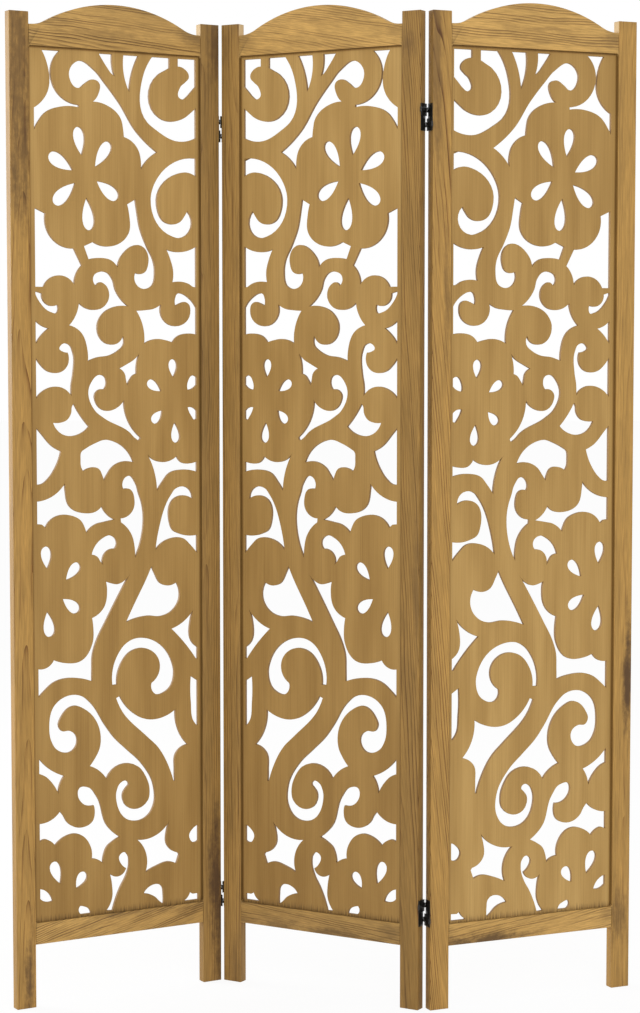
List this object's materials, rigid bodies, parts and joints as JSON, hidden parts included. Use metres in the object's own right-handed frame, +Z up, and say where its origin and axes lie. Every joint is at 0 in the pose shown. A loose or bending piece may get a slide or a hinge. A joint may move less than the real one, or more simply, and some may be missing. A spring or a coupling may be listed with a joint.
{
  "type": "folding screen",
  "caption": "Folding wooden room divider: tall framed panels with arched top rails and boards of scroll and flower fretwork, joined by two-way hinges so that they stand in a zigzag.",
  "frame": {"origin": "on the floor, under the middle of the bounding box of the screen as it stands in a zigzag", "axes": "+Z up, +X along the row of panels to the right as seen from the front, -Y towards the viewer in front"},
  "size_m": [1.0664, 0.2212, 1.701],
  "materials": {
    "stile_wood": "golden-brown stain, satin",
    "rail_wood": "golden-brown stain, satin",
    "fretwork_wood": "golden-brown stain on plywood, satin",
    "hinge_steel": "black lacquer, satin",
    "pin_steel": "black, satin"
  },
  "bodies": {
    "middle_panel": {"middle_panel_left_stile": "stile_wood", "middle_panel_right_stile": "stile_wood", "middle_panel_top_rail": "rail_wood", "middle_panel_bottom_rail": "rail_wood", "middle_panel_fretwork": "fretwork_wood", "upper_left_hinge_right_leaf": "hinge_steel", "upper_left_hinge_upper_link": "hinge_steel", "upper_left_hinge_upper_front_pin": "pin_steel", "upper_left_hinge_upper_back_pin": "pin_steel", "lower_left_hinge_right_leaf": "hinge_steel", "lower_left_hinge_upper_link": "hinge_steel", "lower_left_hinge_upper_front_pin": "pin_steel", "lower_left_hinge_upper_back_pin": "pin_steel", "upper_right_hinge_left_leaf": "hinge_steel", "upper_right_hinge_upper_link": "hinge_steel", "upper_right_hinge_upper_front_pin": "pin_steel", "upper_right_hinge_upper_back_pin": "pin_steel", "lower_right_hinge_left_leaf": "hinge_steel", "lower_right_hinge_upper_link": "hinge_steel", "lower_right_hinge_upper_front_pin": "pin_steel", "lower_right_hinge_upper_back_pin": "pin_steel"},
    "left_panel": {"left_panel_left_stile": "stile_wood", "left_panel_right_stile": "stile_wood", "left_panel_top_rail": "rail_wood", "left_panel_bottom_rail": "rail_wood", "left_panel_fretwork": "fretwork_wood", "upper_left_hinge_left_leaf": "hinge_steel", "upper_left_hinge_lower_link": "hinge_steel", "upper_left_hinge_lower_front_pin": "pin_steel", "upper_left_hinge_lower_back_pin": "pin_steel", "lower_left_hinge_left_leaf": "hinge_steel", "lower_left_hinge_lower_link": "hinge_steel", "lower_left_hinge_lower_front_pin": "pin_steel", "lower_left_hinge_lower_back_pin": "pin_steel"},
    "right_panel": {"right_panel_left_stile": "stile_wood", "right_panel_right_stile": "stile_wood", "right_panel_top_rail": "rail_wood", "right_panel_bottom_rail": "rail_wood", "right_panel_fretwork": "fretwork_wood", "upper_right_hinge_right_leaf": "hinge_steel", "upper_right_hinge_lower_link": "hinge_steel", "upper_right_hinge_lower_front_pin": "pin_steel", "upper_right_hinge_lower_back_pin": "pin_steel", "lower_right_hinge_right_leaf": "hinge_steel", "lower_right_hinge_lower_link": "hinge_steel", "lower_right_hinge_lower_front_pin": "pin_steel", "lower_right_hinge_lower_back_pin": "pin_steel"}
  },
  "joints": [
    {"name": "left_fold", "type": "hinge", "parent": "middle_panel", "child": "left_panel", "pos_m": [-0.18371, 0.09134, 0], "axis": [0, 0, 1], "range_deg": [-60.2, 119.8]},
    {"name": "right_fold", "type": "hinge", "parent": "middle_panel", "child": "right_panel", "pos_m": [0.16691, -0.09038, 0], "axis": [0, 0, 1], "range_deg": [-54.2, 125.8]}
  ]
}
